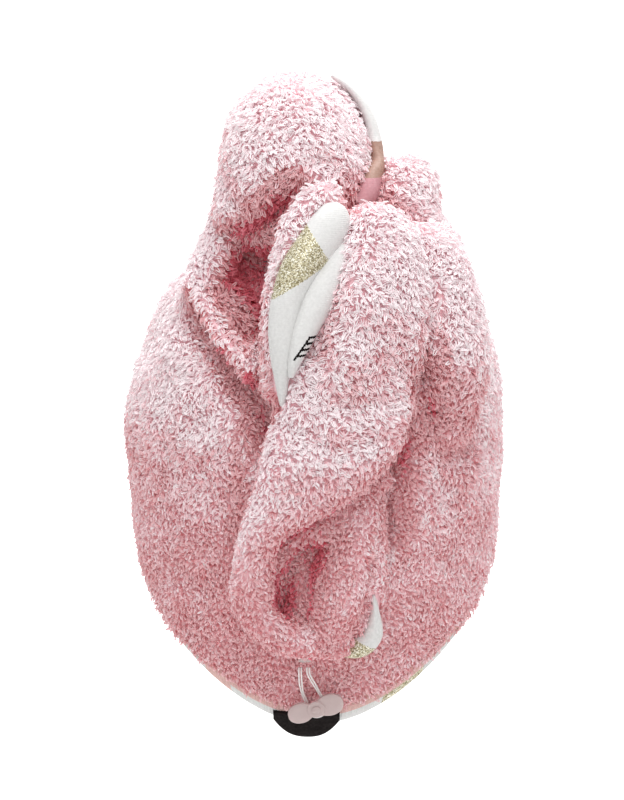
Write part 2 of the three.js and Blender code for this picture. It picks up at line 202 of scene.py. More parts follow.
def ramp(tree, factor, stops, constant=False):
    """A colour ramp fed by factor; stops are (place, colour)."""
    made = tree.nodes.new("ShaderNodeValToRGB")
    if constant:
        made.color_ramp.interpolation = "CONSTANT"
    elements = made.color_ramp.elements
    while len(elements) < len(stops):
        elements.new(1)
    for element, (place, colour) in zip(elements, stops):
        element.position = place
        element.color = (*colour, 1)
    tree.links.new(factor, made.inputs["Fac"])
    return made.outputs["Color"]


def add_bump(tree, height, strength, distance):
    bump = node(tree, "ShaderNodeBump", Strength=strength, Distance=distance)
    tree.links.new(height, bump.inputs["Height"])
    tree.links.new(bump.outputs["Normal"], tree.nodes["Principled BSDF"].inputs["Normal"])


def texture(tree, kind, **inputs):
    """A texture that keeps its place on the object."""
    made = node(tree, kind, **inputs)
    place = tree.nodes.new("ShaderNodeTexCoord").outputs["Object"]
    tree.links.new(place, made.inputs["Vector"])
    return made


def cells(tree, scale):
    """Two numbers from 0 to 1, named Red and Green, that differ from cell to cell of a pattern."""
    pattern = texture(tree, "ShaderNodeTexVoronoi", Scale=scale)
    split = tree.nodes.new("ShaderNodeSeparateColor")
    tree.links.new(pattern.outputs["Color"], split.inputs["Color"])
    return split.outputs


def textured(name, low, high, scale, roughness, bump, wales=False):
    """Cloth or thread mottled between two colours, with a fine grain or knitted wales in relief."""
    material = plain_material(name, high, roughness)
    tree = material.node_tree
    mottle = texture(tree, "ShaderNodeTexNoise", Scale=scale, Detail=3)
    colour = ramp(tree, mottle.outputs["Fac"], list(zip(MOTTLE_ENDS, (low, high))))
    tree.links.new(colour, tree.nodes["Principled BSDF"].inputs["Base Color"])
    height = mottle.outputs["Fac"]
    if wales:
        knit = texture(tree, "ShaderNodeTexWave", Scale=WALE_SCALE, Distortion=1.5, Detail=1)
        knit.bands_direction = "Z"
        height = knit.outputs["Fac"]
    add_bump(tree, height, bump, RELIEF_DEPTH)
    return material


def glitter_material():
    """Printed glitter: flakes of pale, bright and dark gold, their colours partly the print's mixed flakes
    and partly painted glints and shade, each tilted by its own relief.
    """
    material = plain_material("gold_glitter", (0.6, 0.5, 0.3), 0.4)
    tree = material.node_tree
    shader = tree.nodes["Principled BSDF"]
    shader.inputs["Metallic"].default_value = 0.2
    flakes = cells(tree, FLAKE_SCALE)
    tree.links.new(ramp(tree, flakes["Red"], FLAKE_COLOURS_AND_GLINTS, True), shader.inputs["Base Color"])
    add_bump(tree, flakes["Green"], FLAKE_RELIEF, FLAKE_DEPTH)
    return material


JERSEY_PRINTS = {  # darkest and lightest colour, roughness and relief of each printed block
    "white": ((0.70, 0.70, 0.69), (0.76, 0.76, 0.75), 0.8, 0.3),
    "blush": ((0.52, 0.25, 0.28), (0.58, 0.30, 0.33), 0.75, 0.25),
    "tan": ((0.34, 0.20, 0.15), (0.40, 0.25, 0.20), 0.6, 0.2),
    "salmon": ((0.70, 0.45, 0.42), (0.76, 0.51, 0.47), 0.8, 0.4),
    "black": ((0.008, 0.006, 0.006), (0.018, 0.014, 0.014), 0.8, 0.25),
}
JERSEY_MOTTLE = 700
BLACK_SHINE = 0.1
BUTTON_COAT = 0.25


def jersey_prints():
    """The smooth jersey of the tail's edges, the hem and the tab, by the colour printed on it."""
    made = {}
    for name, (low, high, roughness, relief) in JERSEY_PRINTS.items():
        made[name] = textured(f"jersey_{name}", low, high, JERSEY_MOTTLE, roughness, relief, wales=True)
        if name == "white":
            made["gold"] = glitter_material()
    black = made["black"].node_tree.nodes["Principled BSDF"]
    black.inputs["Specular IOR Level"].default_value = BLACK_SHINE
    return made


def printed_jersey():
    """The lining: white jersey printed with large straight-edged blocks of gold, blush and black."""
    low, high = (0.8, 0.8, 0.79), (0.87, 0.86, 0.85)
    material = textured("printed_jersey", low, high, JERSEY_MOTTLE, 0.8, 0.25, wales=True)
    tree = material.node_tree
    colour = ramp(tree, cells(tree, BLOCK_SCALE)["Red"], BLOCK_COLOURS, True)
    tree.links.new(colour, tree.nodes["Principled BSDF"].inputs["Base Color"])
    return material


def button_plastic():
    """Glossy moulded plastic in a dusty pink."""
    material = textured("button_plastic", (0.55, 0.435, 0.425), (0.59, 0.475, 0.465), 120, 0.32, 0.05)
    material.node_tree.nodes["Principled BSDF"].inputs["Coat Weight"].default_value = BUTTON_COAT
    return material


YARN_ROUGHNESS = 0.9
# painted shade: each level's colours stand for how much light reaches a loop, and a root's darker, redder
# colour stands for the shade between loops
YARN_SHADE_STEPS = {  # colours of a loop's root, middle and tip
    "open": [(0.95, 0.83, 0.855), (0.955, 0.87, 0.89), (0.96, 0.90, 0.915)],
    "shaded": [(0.91, 0.64, 0.67), (0.92, 0.70, 0.73), (0.93, 0.75, 0.775)],
    "sheltered": [(0.83, 0.43, 0.455), (0.85, 0.53, 0.55), (0.87, 0.60, 0.615)],
    "deep": [(0.78, 0.17, 0.225), (0.81, 0.24, 0.295), (0.84, 0.31, 0.365)],
}


def shaded_yarn_materials():
    """Cotton yarn from root to tip in four levels of painted shade: palest in the open, darker and redder
    in deeper shade and folds, each root painted darker than its tip.
    """
    yarns = []
    for place, colours in YARN_SHADE_STEPS.items():
        for part, colour in zip(("root", "middle", "tip"), colours):
            yarns.append(plain_material(f"yarn_{place}_{part}", colour, YARN_ROUGHNESS))
    return yarns


# ---------------------------------------------------------------- mesh helpers
def mesh_object(name, points, faces, smooth=True):
    """A mesh from an array of points in metres and an array of faces with equal corner counts."""
    mesh = bpy.data.meshes.new(name)
    points = np.asarray(points, np.float32)
    faces = np.asarray(faces, np.int32)
    mesh.vertices.add(len(points))
    mesh.vertices.foreach_set("co", points.ravel())
    mesh.loops.add(faces.size)
    mesh.loops.foreach_set("vertex_index", faces.ravel())
    mesh.polygons.add(len(faces))
    mesh.polygons.foreach_set("loop_start", np.arange(0, faces.size, faces.shape[1], dtype=np.int32))
    mesh.update(calc_edges=True)
    mesh.polygons.foreach_set("use_smooth", np.full(len(faces), smooth))
    return add_object(name, mesh)


def grid_faces(rows, columns, wrap=False):
    """Quads over a grid of points stored row by row; wrap joins the last column to the first."""
    across = columns if wrap else columns - 1
    r, c = np.meshgrid(np.arange(rows - 1), np.arange(across), indexing="ij")
    r, c = r.ravel(), c.ravel()
    after = (c + 1) % columns
    this_row, next_row = r * columns, (r + 1) * columns
    return np.stack([this_row + c, this_row + after, next_row + after, next_row + c], 1)


def tube(stations, sides=20, squareness=1.0):
    """(points, quads) of an oval tube; a squareness below 1 gives it flat faces and round corners."""
    angles = np.linspace(0, 2 * math.pi, sides, endpoint=False)
    wide = (np.sign(np.cos(angles)) * np.abs(np.cos(angles)) ** squareness)[:, None]
    deep = (np.sign(np.sin(angles)) * np.abs(np.sin(angles)) ** squareness)[:, None]
    rings = []
    for centre, across, out, half_across, half_out in stations:
        rings.append(centre + half_across * wide * across + half_out * deep * out)
    return np.concatenate(rings), grid_faces(len(stations), sides, wrap=True)


def unit(vector):
    return vector / max(np.linalg.norm(vector), 1e-9)


def route(points, facing, steps=6):
    """Stations for tube() along points of (x, y, z, half across, half out), smoothed through a spline."""
    points = np.array(points, float)
    count = steps * (len(points) - 1) + 1
    t = np.linspace(0, len(points) - 1, count)
    fine = np.stack([catmull(points[:, k], t) for k in range(points.shape[1])], 1)
    centres = fine[:, :3]
    tangents = np.gradient(centres, axis=0)
    stations = []
    for centre, tangent, (half_across, half_out) in zip(centres, tangents, fine[:, 3:]):
        across = unit(np.cross(unit(tangent), facing))
        out = unit(np.cross(across, unit(tangent)))
        stations.append((centre, across, out, half_across, half_out))
    return stations


def catmull(values, t):
    """A Catmull-Rom curve through values at whole numbers, read at t."""
    padded = np.concatenate([[2 * values[0] - values[1]], values, [2 * values[-1] - values[-2]]])
    k = np.clip(t.astype(int), 0, len(values) - 2)
    f = t - k
    a, b, c, d = padded[k], padded[k + 1], padded[k + 2], padded[k + 3]
    return b + 0.5 * f * (c - a + f * (2 * a - 5 * b + 4 * c - d + f * (3 * (b - c) + d - a)))


def close_up(work, mesh):
    """Fills a shape's open ends, turns its faces outwards and stores it as the mesh."""
    bmesh.ops.holes_fill(work, edges=[edge for edge in work.edges if edge.is_boundary], sides=0)
    bmesh.ops.recalc_face_normals(work, faces=work.faces)
    work.to_mesh(mesh)
    work.free()


def fused(name, parts, voxel, rounds):
    """One skin round overlapping closed parts of (points in mm, quads), voxel mm fine, then smoothed."""
    mesh = bpy.data.meshes.new(name)
    work = bmesh.new()
    for points, quads in parts:
        corners = [work.verts.new(Vector(p) * MM) for p in points]
        for quad in quads:
            work.faces.new([corners[i] for i in quad])
    close_up(work, mesh)
    piece = add_object(name, mesh)
    remesh = piece.modifiers.new("remesh", "REMESH")
    remesh.mode = "VOXEL"
    remesh.voxel_size = voxel * MM
    relax = piece.modifiers.new("relax", "SMOOTH")
    relax.factor = 0.5
    relax.iterations = rounds
    apply_modifiers(piece)
    piece.data.polygons.foreach_set("use_smooth", np.full(len(piece.data.polygons), True))
    return piece


def apply_modifiers(piece):
    graph = bpy.context.evaluated_depsgraph_get()
    final = bpy.data.meshes.new_from_object(piece.evaluated_get(graph))
    piece.modifiers.clear()
    piece.data = final


def vertex_array(mesh):
    points = np.empty(len(mesh.vertices) * 3, np.float32)
    mesh.vertices.foreach_get("co", points)
    return points.reshape(-1, 3).astype(float)


def normal_array(mesh):
    normals = np.empty(len(mesh.vertices) * 3, np.float32)
    mesh.vertex_normals.foreach_get("vector", normals)
    return normals.reshape(-1, 3).astype(float)


def move_out(mesh, distance):
    """Moves each point of a mesh out along its normal by its own distance in mm, or in where below 0."""
    points = vertex_array(mesh) + normal_array(mesh) * (distance * MM)[:, None]
    mesh.vertices.foreach_set("co", points.astype(np.float32).ravel())
    mesh.update()


def drop_faces(piece, doomed):
    """Deletes the faces whose centre, in mm, the test names, and the points that only they used."""
    work = bmesh.new()
    work.from_mesh(piece.data)
    gone = [face for face in work.faces if doomed(face.calc_center_median() / MM)]
    bmesh.ops.delete(work, geom=gone, context="FACES")
    work.to_mesh(piece.data)
    work.free()


# ---------------------------------------------------------------- the cap's surface
def rim_z(theta):
    return RIM_MEAN_Z - RIM_TILT * np.cos(theta) - RIM_BOW * np.cos(2 * theta)


def fullness(z, inset):
    low = 1 - HEM_TUCK * ((BELLY_Z - np.minimum(z, BELLY_Z)) / BELLY_Z) ** 2
    rise = np.clip((z - BELLY_Z) / (CROWN_Z - inset - BELLY_Z), 0, 1)
    return np.where(z <= BELLY_Z, low, (1 - rise**CROWN_POWER) ** (1 / CROWN_POWER))


def cap_point(theta, z, inset):
    """Points of the cap's surface, in mm; theta is 0 at the nape and pi at the forehead."""
    share = fullness(z, inset)
    narrowing = np.where(z <= BELLY_Z, inset, inset * share)
    x = (HALF_WIDTH * share - narrowing) * np.sin(theta)
    y = -(HALF_DEPTH * share - narrowing) * np.cos(theta)
    return np.stack([x, y, z * np.ones_like(x)], -1)


def cap_back_y(x, z, inset=0):
    """The level of the cap's back, in mm, behind a place seen from the back."""
    share = float(fullness(np.array(float(z)), inset))
    half_width = max((HALF_WIDTH - inset) * share, 1)
    half_depth = (HALF_DEPTH - inset) * share
    return -half_depth * math.sqrt(max(1 - (x / half_width) ** 2, 0))


def cap_angle(place):
    """A place's angle round the cap: 0 at the nape, positive to the wearer's right."""
    return math.atan2(place.x / HALF_WIDTH, -place.y / HALF_DEPTH)


BACKWARD = np.array([0.0, -1.0, 0.0])
UPWARD = np.array([0.0, 0.6, 1.0])
BACK_AND_LEFT = np.array([-0.8, -1, 0])
BACK_AND_RIGHT = np.array([0.7, -1, 0])


# ---------------------------------------------------------------- terry pile
def surface_samples(piece, per_cm2, seed):
    """Evenly spread places on a piece: points, normals, both in metres."""
    mesh = piece.data
    mesh.calc_loop_triangles()
    corners = np.empty(len(mesh.loop_triangles) * 3, np.int32)
    mesh.loop_triangles.foreach_get("vertices", corners)
    corners = corners.reshape(-1, 3)
    points, normals = vertex_array(mesh), normal_array(mesh)
    a, b, c = (points[corners[:, k]] for k in range(3))
    areas = np.linalg.norm(np.cross(b - a, c - a), axis=1) / 2
    total = areas.sum()
    count = int(total * 1e4 * per_cm2)
    draw = np.random.default_rng(seed)
    marks = (np.arange(count) + draw.random(count)) / count * total
    which = np.searchsorted(np.cumsum(areas), marks).clip(0, len(areas) - 1)
    u, v = draw.random(count), draw.random(count)
    flip = u + v > 1
    u[flip], v[flip] = 1 - u[flip], 1 - v[flip]
    weights = np.stack([1 - u - v, u, v], 1)[:, :, None]
    place = (points[corners[which]] * weights).sum(1)
    normal = (normals[corners[which]] * weights).sum(1)
    return place, normal / np.linalg.norm(normal, axis=1)[:, None]


def soft_noise(places, size, seed):
    """Smooth noise from -1 to 1 at places in metres, with features about size mm across."""
    scale = 1 / (size * MM)
    shift = Vector((seed * 7.3, seed * 3.1, seed * 5.7))
    return np.array([noise.noise(Vector(p) * scale + shift) for p in places])


SWIRL, SWIRL_SIZE, SWIRL_SCATTER = 1.6, 18, 0.7  # how the loops' lie wanders, in radians and mm
LENGTHS, WIDTHS, WEIGHTS = (0.7, 1.25), (0.6, 1.35), (0.85, 1.15)  # shares of the usual loop
LEANS = (1.4, 2.6)  # how far over a loop bends, in radians
TWIST, WAVE = 0.9, 0.55


def loop_mesh(place, normal, seed):
    """Points and quads of one yarn loop per place: a bent-over hairpin, its legs side by side."""
    draw = np.random.default_rng(seed + 1)
    count = len(place)
    down = np.array([0.0, 0.0, -1.0])
    fall = down - normal * (normal @ down)[:, None]
    fall += 0.15 * np.cross(normal, down)
    fall /= np.linalg.norm(fall, axis=1)[:, None] + 1e-9
    side = np.cross(normal, fall)
    swirl = SWIRL * soft_noise(place, SWIRL_SIZE, seed) + draw.normal(0, SWIRL_SCATTER, count)
    comb = np.cos(swirl)[:, None] * fall + np.sin(swirl)[:, None] * side
    breadth = np.cross(normal, comb)

    size = np.interp(place[:, 2] / MM, LOOP_SIZE_LEVELS, (LOW_LOOPS, HIGH_LOOPS))
    length = LOOP_LENGTH * size * draw.uniform(*LENGTHS, count)
    lean = draw.uniform(*LEANS, count)
    width = LOOP_WIDTH * size * draw.uniform(*WIDTHS, count)
    radius = YARN_RADIUS * size**0.5 * draw.uniform(*WEIGHTS, count)
    twist = draw.normal(0, TWIST, count)
    wave = draw.normal(0, WAVE, count)

    s = np.linspace(0, 1, LOOP_POINTS)
    rise = np.sin(math.pi * s)[None, :] ** 0.75 * np.ones((count, 1))
    turn = lean[:, None] * rise
    up = length[:, None] * np.sin(turn) / lean[:, None]
    along = length[:, None] * (1 - np.cos(turn)) / lean[:, None]
    spread = -0.5 * width[:, None] * np.cos(math.pi * s)[None, :] * (0.55 + 0.9 * rise)
    spread += wave[:, None] * np.sin(2 * math.pi * rise)
    strand = np.cos(turn)[..., None] * normal[:, None] + np.sin(turn)[..., None] * comb[:, None]
    flat = np.sin(turn)[..., None] * normal[:, None] - np.cos(turn)[..., None] * comb[:, None]
    angle = twist[:, None] * rise
    across = np.cos(angle)[..., None] * breadth[:, None] + np.sin(angle)[..., None] * flat
    line = up[..., None] * normal[:, None] + along[..., None] * comb[:, None] + spread[..., None] * across
    tangent = np.gradient(line, axis=1)
    tangent /= np.linalg.norm(tangent, axis=2)[..., None] + 1e-9
    first = np.cross(across, strand)
    first -= tangent * (first * tangent).sum(2)[..., None]
    first /= np.linalg.norm(first, axis=2)[..., None] + 1e-9
    second = np.cross(tangent, first)
    angles = np.linspace(0, 2 * math.pi, YARN_SIDES, endpoint=False)
    ring = np.cos(angles)[:, None] * first[:, :, None] + np.sin(angles)[:, None] * second[:, :, None]
    points = line[:, :, None] + radius[:, None, None, None] * ring
    points = place[:, None, None] + points * MM

    faces = grid_faces(LOOP_POINTS, YARN_SIDES, wrap=True)
    step = LOOP_POINTS * YARN_SIDES
    quads = faces[None] + (np.arange(count) * step)[:, None, None]
    return points.reshape(-1, 3), quads.reshape(-1, 4)


LIGHT_RAYS = 14
RAY_TURN = 2.4  # the golden angle, which spreads the rays evenly
RAY_START, LIGHT_REACH = 0.002, 0.06
LEVEL_LIGHT, SKY_GAIN, LEAST_LIGHT = 0.55, 0.9, 0.4  # a ray's light when level, its gain upwards, its least
LIGHT_LIMITS = (0.33, 0.60, 0.67)  # shares of the light from above that part the four levels
LIGHT_JITTER = 0.035
COVER_GAP = 0.014  # another body's cloth nearer than this only covers a place until it is lifted


def painted_shade_level(place, normal, cloths, own, seed):
    """How little light from above reaches each place, as its yarn's level of painted shade: 0 in the open,
    then shaded, sheltered and 3 deep in a fold.
    """
    tree, owners = cloths
    turn = np.arange(LIGHT_RAYS) * RAY_TURN
    height = np.sqrt(1 - (np.arange(LIGHT_RAYS) + 0.5) / LIGHT_RAYS)
    flat = np.sqrt(1 - height**2)
    rays = np.stack([flat * np.cos(turn), flat * np.sin(turn), height], 1)
    light = np.empty(len(place))
    for number, (point, up) in enumerate(zip(place, normal)):
        across = unit(np.cross(up, [0.3, 0.9, 0.31]))
        world_rays = rays @ np.stack([across, np.cross(up, across), up])
        start = Vector(point + up * RAY_START)
        free = np.ones(LIGHT_RAYS)
        for k, ray in enumerate(world_rays):
            hit, facing, face, distance = tree.ray_cast(start, Vector(ray), LIGHT_REACH)
            if hit is None:
                continue
            from_inside = facing.dot(Vector(ray)) > 0
            if owners[face] == own or distance > COVER_GAP and not from_inside:
                free[k] = 0
        sky = np.clip(LEVEL_LIGHT + SKY_GAIN * world_rays[:, 2], LEAST_LIGHT, 1)
        light[number] = (sky * free).mean()
    light += np.random.default_rng(seed).normal(0, LIGHT_JITTER, len(place))
    return len(LIGHT_LIMITS) - np.searchsorted(LIGHT_LIMITS, light)


MIDDLE_RISE, TIP_RISE = 0.4, 0.75  # where up a loop its middle and its tip begin


def yarn_slots(levels):
    """Material slot of every quad: root, middle or tip of the yarn at its loop's level of painted shade."""
    middle = (np.arange(LOOP_POINTS - 1) + 0.5) / (LOOP_POINTS - 1)
    height = np.sin(math.pi * middle)
    part = np.where(height > TIP_RISE, 2, np.where(height > MIDDLE_RISE, 1, 0))
    return (levels[:, None] * 3 + np.repeat(part, YARN_SIDES)[None]).ravel()


def grow_pile(name, cloth, body, seed, cloths, edges):
    """Covers a ground cloth in yarn loops, in several pieces that ride with its body."""
    place, normal = surface_samples(cloth, LOOPS_PER_CM2, seed)
    wanted = clear_of_edges(place / MM, edges)
    place, normal = place[wanted], normal[wanted]
    # painted shade, worked out once at rest: each loop's yarn colour follows how little light reaches its
    # place
    levels = painted_shade_level(place, normal, cloths, cloth.name, seed)
    order = np.argsort(np.arctan2(place[:, 0], -place[:, 1]))
    shares = np.array_split(order, max(1, math.ceil(len(order) / LOOPS_PER_PIECE)))
    piles = []
    for number, share in enumerate(shares, 1):
        points, quads = loop_mesh(place[share], normal[share], seed + number)
        pile = mesh_object(f"{name}_{number}", points, quads, smooth=False)
        for material in SHADED_YARNS:
            pile.data.materials.append(material)
        pile.data.polygons.foreach_set("material_index", yarn_slots(levels[share]).astype(np.int32))
        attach(pile, body)
        piles.append(pile)
    return piles


def search_tree(pieces):
    """One search tree over several pieces, and the name of the piece that owns each of its faces."""
    points, quads, owners = [], [], []
    for piece in pieces:
        start = len(points)
        points += [vertex.co for vertex in piece.data.vertices]
        quads += [[start + corner for corner in face.vertices] for face in piece.data.polygons]
        owners += [piece.name] * len(piece.data.polygons)
    return BVHTree.FromPolygons(points, quads), owners


def press(piece, depth, width, places):
    """Presses a crease into a cloth along places in mm, or raises a swelling where depth is below 0."""
    points = vertex_array(piece.data)
    places = np.array(places, float) * MM
    nearest = np.full(len(points), np.inf)
    for a, b in zip(places[:-1], places[1:]):
        along = ((points - a) @ (b - a) / ((b - a) @ (b - a))).clip(0, 1)
        nearest = np.minimum(nearest, np.linalg.norm(points - a - along[:, None] * (b - a), axis=1))
    move_out(piece.data, -depth * np.exp(-((nearest / MM / width) ** 2)))


SWELLS = ((2.2, 42), (1.2, 17))  # how tall and how broad in mm
CLOTH_VOXEL = 2.5
SMOOTH_ROUNDS = 8


def ruffle(piece, seed):
    """Soft unevenness of a worn cloth: broad swells with smaller ones on them."""
    points = vertex_array(piece.data)
    swells = [tall * soft_noise(points, size, seed + n) for n, (tall, size) in enumerate(SWELLS)]
    move_out(piece.data, sum(swells))


def make_cloth(name, body, parts, creases, nodes, seed, opening=None):
    """The ground cloth wrapped round its parts, creased and ruffled, and open where opening says."""
    cloth = fused(f"{name}_cloth", parts, CLOTH_VOXEL, SMOOTH_ROUNDS)
    for crease in creases:
        press(cloth, *crease)
    ruffle(cloth, seed)
    if opening:
        drop_faces(cloth, opening)
    cloth.data.materials.append(GROUND_IN_SHADE)
    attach(cloth, body)
    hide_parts(*nodes)
    return cloth


# ---------------------------------------------------------------- cap
CROWN_RISE = np.sin(np.linspace(0.06, 1, 26) * math.pi / 2) ** (2 / CROWN_POWER)
UPPER_LEVELS = BELLY_Z + (CROWN_Z - GROUND_INSET - BELLY_Z) * CROWN_RISE
CAP_LEVELS = np.concatenate([np.linspace(0, BELLY_Z, 24), UPPER_LEVELS])
# lumps of cloth and jersey edges are stations of x, y, z, half across and half out, in mm
CROWN_FOLD = [
    (47, -26, 256, 25, 30),
    (44, -26, 276, 23, 28),
    (45, -22, 292, 21, 23),
    (43, -18, 303, 13, 14),
]
RIGHT_SHOULDER = [
    (70, -18, 200, 24, 34),
    (61, -20, 230, 26, 36),
    (54, -22, 250, 26, 34),
    (44, -24, 266, 24, 30),
]
RIGHT_SADDLE = [
    (52, -56, 266, 16, 22),
    (60, -66, 242, 22, 27),
    (66, -74, 214, 22, 28),
    (69, -76, 184, 18, 22),
    (70, -78, 160, 10, 14),
]
LEFT_NECK = [
    (-70, -28, 214, 14, 20),
    (-54, -34, 240, 16, 26),
    (-44, -36, 262, 16, 26),
    (-38, -34, 284, 14, 20),
]
LEFT_FOLD = [
    (-63, -44, 238, 9, 13),
    (-54, -63, 224, 10, 15),
    (-43, -83, 211, 10, 15),
    (-30, -101, 196, 9, 13),
]

# how deep in mm a crease is pressed, how wide it is, and where it runs
CAP_CREASES = [
    (5, 22, [(-86, -30, 236), (-92, -25, 210)]),
    (13, 10, [(-66, -58, 228), (-54, -78, 211), (-42, -96, 196), (-27, -110, 178), (-20, -114, 162)]),
    (26, 13, [(-27, -56, 276), (-33, -56, 262), (-35, -66, 248), (-33, -76, 236), (-31, -84, 229)]),
    (4, 3.5, [(-88, -44, 202), (-91, -46, 192), (-96, -46, 174), (-100, -44, 153)]),
    (13, 9, [(50, -106, 168), (42, -108, 151), (39, -109, 132), (38, -108, 112)]),
    (3, 6, [(48, -98, 175), (57, -96, 178), (66, -90, 180), (76, -84, 176)]),
    (4, 8, [(40, -80, 262), (50, -82, 246), (58, -88, 222), (58, -96, 200)]),
    (-3, 26, [(-50, -90, 130), (-30, -104, 100)]),
]


def cap_body():
    theta = np.linspace(0, 2 * math.pi, 96, endpoint=False)
    points = np.concatenate([cap_point(theta, z, GROUND_INSET) for z in CAP_LEVELS])
    return points, grid_faces(len(CAP_LEVELS), len(theta), wrap=True)


def below_hem(place):
    theta = cap_angle(place)
    return place.z < rim_z(theta) + np.interp(abs(theta), EDGE_ANGLES, TERRY_EDGE)


def make_cap():
    lumps = [CROWN_FOLD, RIGHT_SHOULDER, RIGHT_SADDLE, LEFT_NECK, LEFT_FOLD]
    parts = [cap_body()] + [tube(route(lump, BACKWARD)) for lump in lumps]
    nodes = ["cap_terry_left", "cap_terry_right", "crown_fold"]
    return make_cloth("cap", "cap", parts, CAP_CREASES, nodes, CAP_SEED, below_hem)


# ---------------------------------------------------------------- tail
ROLL = [
    (-4, 103, 176, 16, 5),
    (-4, 108, 198, 22, 8),
    (-5, 104, 222, 29, 16),
    (-7, 88, 252, 35, 28),
    (-9, 57, 284, 39, 38),
    (-9, 20, 300, 40, 46),
    (-9, -16, 300, 40, 50),
    (-12, -42, 297, 36, 46),
    (-14, -62, 293, 30, 36),
    (-14, -76, 290, 19, 21),
]
ROLL_MOUTH_Y, ROLL_MOUTH_DEPTH = 60, 6  # the roll is open in front of here and this deep inside the cap
ROLL_DROOP = [
    (-18, -14, 312, 20, 24),
    (-30, -34, 298, 20, 24),
    (-37, -50, 282, 15.5, 18),
    (-41, -60, 272, 11, 12),
]
ROLL_CREASES = [
    (5, 4, [(15, -20, 347), (21, -50, 325), (24, -60, 305), (25, -56, 284)]),
    (3, 7, [(-46, -30, 320), (-24, -62, 306), (0, -72, 308)]),
    (
        13,
        7,
        [(8, -82, 291), (-2, -82, 291), (-14, -80, 287), (-24, -75, 278), (-33, -70, 268), (-41, -64, 260)],
    ),
]

LAYER_SQUARENESS = 0.7  # gives the flap's two layers a flat back and a crisp edge
FLAP_RIDGE = [
    (16, -112, 202, 34, 17),
    (10, -120, 173, 32, 19),
    (-3, -127, 154, 25, 17),
    (-14, -131, 140, 17, 15),
    (-24.5, -132, 126, 10.5, 14),
    (-31, -130, 109, 9, 13),
    (-33, -127, 92, 8.5, 12),
    (-30, -123, 77, 9, 11),
    (-15, -118, 65, 9, 10),
    (2, -114, 60, 8, 9),
    (16, -110, 60, 8, 8),
]
FLAP_SECOND = [
    (34, -111, 150, 7, 8),
    (16, -115, 134, 9, 9),
    (2, -119, 124, 9.5, 9),
    (-12, -119, 116, 8.5, 8),
    (-20, -117, 105, 6, 7),
    (-24, -114, 90, 4, 5),
]
FLAP_PANEL = [
    (28, -104, 158, 7, 9),
    (28, -108, 132, 7, 9),
    (28, -109, 104, 7, 9),
    (26, -109, 80, 8, 9),
    (20, -108, 66, 8, 8),
]
FLAP_FLOOR = [
    (20, -105, 156, 13, 9),
    (17, -112, 128, 16, 9),
    (12, -116, 100, 17, 10),
    (8, -117, 82, 16, 10),
    (4, -115, 66, 13, 9),
]
FLAP_POCKET = [
    (-8, -110, 124, 13, 6),
    (-14, -112.5, 106, 14, 6.5),
    (-16, -113, 90, 14, 6.5),
    (-12, -112, 74, 13, 6),
]
FLAP_RIGHT = [
    (28, -80, 280, 14, 12),
    (32, -90, 266, 21, 15),
    (34, -100, 246, 25, 17),
    (31, -108, 222, 27, 17),
    (27, -113, 200, 28, 17),
    (24, -114, 184, 26, 16),
]
FLAP_STRIP = [
    (10, -86, 291, 8, 6),
    (0, -88, 287, 9, 8),
    (-8, -93, 276, 8, 9),
    (-13.5, -101, 262, 6, 9),
    (-17, -108, 247, 6, 10),
    (-19, -113, 230, 5.5, 10),
    (-20, -116, 212, 6, 11),
    (-17, -117, 194, 10, 12),
]
FLAP_BACK = [
    (12, -76, 276, 22, 12),
    (8, -88, 258, 24, 14),
    (2, -100, 236, 24, 14),
    (0, -106, 212, 22, 13),
    (2, -108, 190, 22, 12),
]
FLAP_CREASES = [
    (4, 6, [(12, -130, 186), (24, -128, 187), (38, -124, 190), (52, -112, 198)]),
    (3, 7, [(-10, -136, 178), (10, -138, 168), (30, -132, 172)]),
    (
        9,
        5.5,
        [
            (36, -122, 157), (29, -126, 151), (15, -129, 143),
            (2, -130, 135), (-12, -131, 127), (-23, -129, 116),
        ],
    ),
    (5, 4, [(30, -113, 138), (18, -114, 121), (10, -114, 112), (1, -113, 105), (-12, -113, 100)]),
    (9, 5.5, [(-3, -122, 112), (-9, -122, 103), (-13, -122, 94), (-16, -121, 85), (-18, -119, 76)]),
    (3, 5, [(24, -122, 103), (21, -122, 95), (19, -120, 87)]),
]


def into_cap(place):
    """Whether a place in mm on the roll is where its cloth runs in under the cap's front."""
    return place.y > ROLL_MOUTH_Y and place.y < -cap_back_y(place.x, place.z, ROLL_MOUTH_DEPTH)


def make_roll():
    parts = [tube(route(ROLL, UPWARD), 32), tube(route(ROLL_DROOP, BACKWARD))]
    nodes = ["tail_roll_left", "tail_roll_right"]
    return make_cloth("tail_roll", "roll", parts, ROLL_CREASES, nodes, ROLL_SEED, into_cap)


def make_flap():
    lumps = [FLAP_PANEL, FLAP_STRIP, FLAP_BACK, FLAP_POCKET]
    parts = [tube(route(lump, BACKWARD)) for lump in lumps]
    for layer in (FLAP_RIDGE, FLAP_SECOND):
        parts.append(tube(route(layer, BACKWARD), squareness=LAYER_SQUARENESS))
    parts.append(tube(route(FLAP_FLOOR, BACK_AND_LEFT)))
    parts.append(tube(route(FLAP_RIGHT, BACK_AND_RIGHT)))
    nodes = ["tail_flap_left", "tail_flap_right"]
    return make_cloth("tail_flap", "flap", parts, FLAP_CREASES, nodes, FLAP_SEED)


def clear_of_edges(places, edges):
    """Whether each place, in mm, is free of the jersey edges, which no loops grow through."""
    free = np.ones(len(places), bool)
    for edge in edges:
        for centre, _, _, half_across, half_out in route(edge, BACKWARD):
            free &= np.linalg.norm(places - centre, axis=1) > max(half_across, half_out) - EDGE_OVERLAP
    return free


